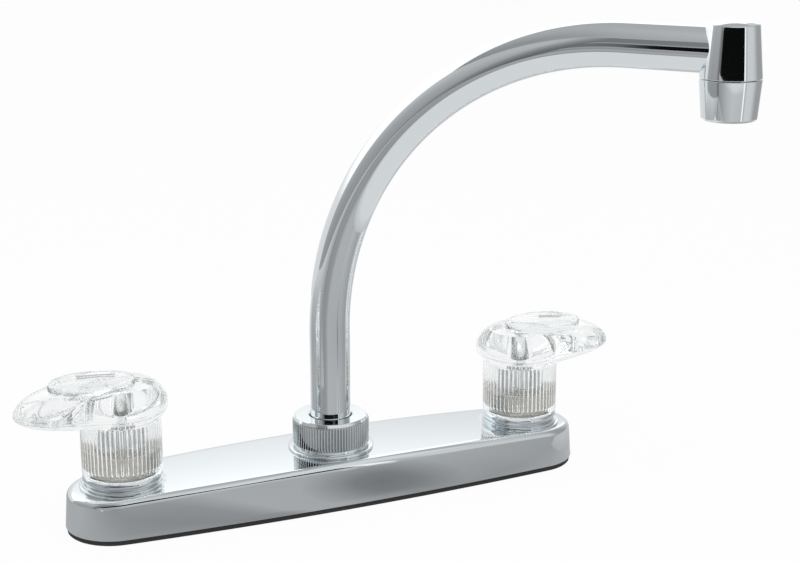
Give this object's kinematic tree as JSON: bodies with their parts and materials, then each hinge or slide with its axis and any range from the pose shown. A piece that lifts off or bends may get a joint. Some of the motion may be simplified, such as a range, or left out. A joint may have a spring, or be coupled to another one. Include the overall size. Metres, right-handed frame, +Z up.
{
  "type": "two handle kitchen faucet",
  "caption": "Deck mounted kitchen faucet with a crowned plate, clear lever handles that turn through a right angle, and a high arc swivel spout with an aerator.",
  "frame": {"origin": "on the sink deck, under the middle of the gasket, midway between the two inlet shanks", "axes": "+X along the plate towards the cold handle, at the right of the picture, +Y to the back, +Z up from the sink deck"},
  "size_m": [0.2982, 0.186, 0.2817],
  "materials": {
    "chrome_plate": "polished chrome plating",
    "black_rubber": "soft matt rubber",
    "brass_casting": "cast and machined brass",
    "white_plastic": "moulded plastic",
    "zinc_steel": "zinc plated sheet steel",
    "spring_steel": "drawn stainless wire",
    "grey_plastic": "moulded plastic",
    "tan_plastic": "moulded plastic",
    "screw_steel": "plated steel screw",
    "clear_acrylic": "polished clear acrylic"
  },
  "bodies": {
    "base": {"deck_plate": "chrome_plate", "deck_gasket": "black_rubber", "waterway_body": "brass_casting", "hot_shank_washer": "zinc_steel", "cold_shank_washer": "zinc_steel", "hot_lock_nut": "white_plastic", "cold_lock_nut": "white_plastic", "hot_valve_seat": "black_rubber", "cold_valve_seat": "black_rubber", "hot_seat_spring": "spring_steel", "cold_seat_spring": "spring_steel", "hot_cartridge": "grey_plastic", "cold_cartridge": "grey_plastic", "hot_bonnet_nut": "tan_plastic", "cold_bonnet_nut": "tan_plastic", "hot_base_ring": "chrome_plate", "cold_base_ring": "chrome_plate", "spout_nut": "chrome_plate", "spout_flange_ring": "chrome_plate", "spout_thrust_ring": "white_plastic"},
    "spout": {"spout_tube": "chrome_plate", "spout_sleeve": "brass_casting", "spout_o_rings": "black_rubber", "spout_head": "chrome_plate", "aerator_shell": "chrome_plate", "aerator_insert": "grey_plastic", "aerator_washer": "black_rubber"},
    "hot_lever": {"hot_stem": "white_plastic", "hot_stem_o_ring": "black_rubber", "hot_handle": "clear_acrylic", "hot_handle_screw": "screw_steel", "hot_index_cap": "clear_acrylic"},
    "cold_lever": {"cold_stem": "white_plastic", "cold_stem_o_ring": "black_rubber", "cold_handle": "clear_acrylic", "cold_handle_screw": "screw_steel", "cold_index_cap": "clear_acrylic"}
  },
  "joints": [
    {"name": "spout_swivel", "type": "hinge", "parent": "base", "child": "spout", "pos_m": [0, 0, 0], "axis": [0, 0, 1], "continuous": true},
    {"name": "hot_handle_turn", "type": "hinge", "parent": "base", "child": "hot_lever", "pos_m": [-0.1016, 0, 0], "axis": [0, 0, 1], "range_deg": [0, 90]},
    {"name": "cold_handle_turn", "type": "hinge", "parent": "base", "child": "cold_lever", "pos_m": [0.1016, 0, 0], "axis": [0, 0, -1], "range_deg": [0, 90]}
  ]
}
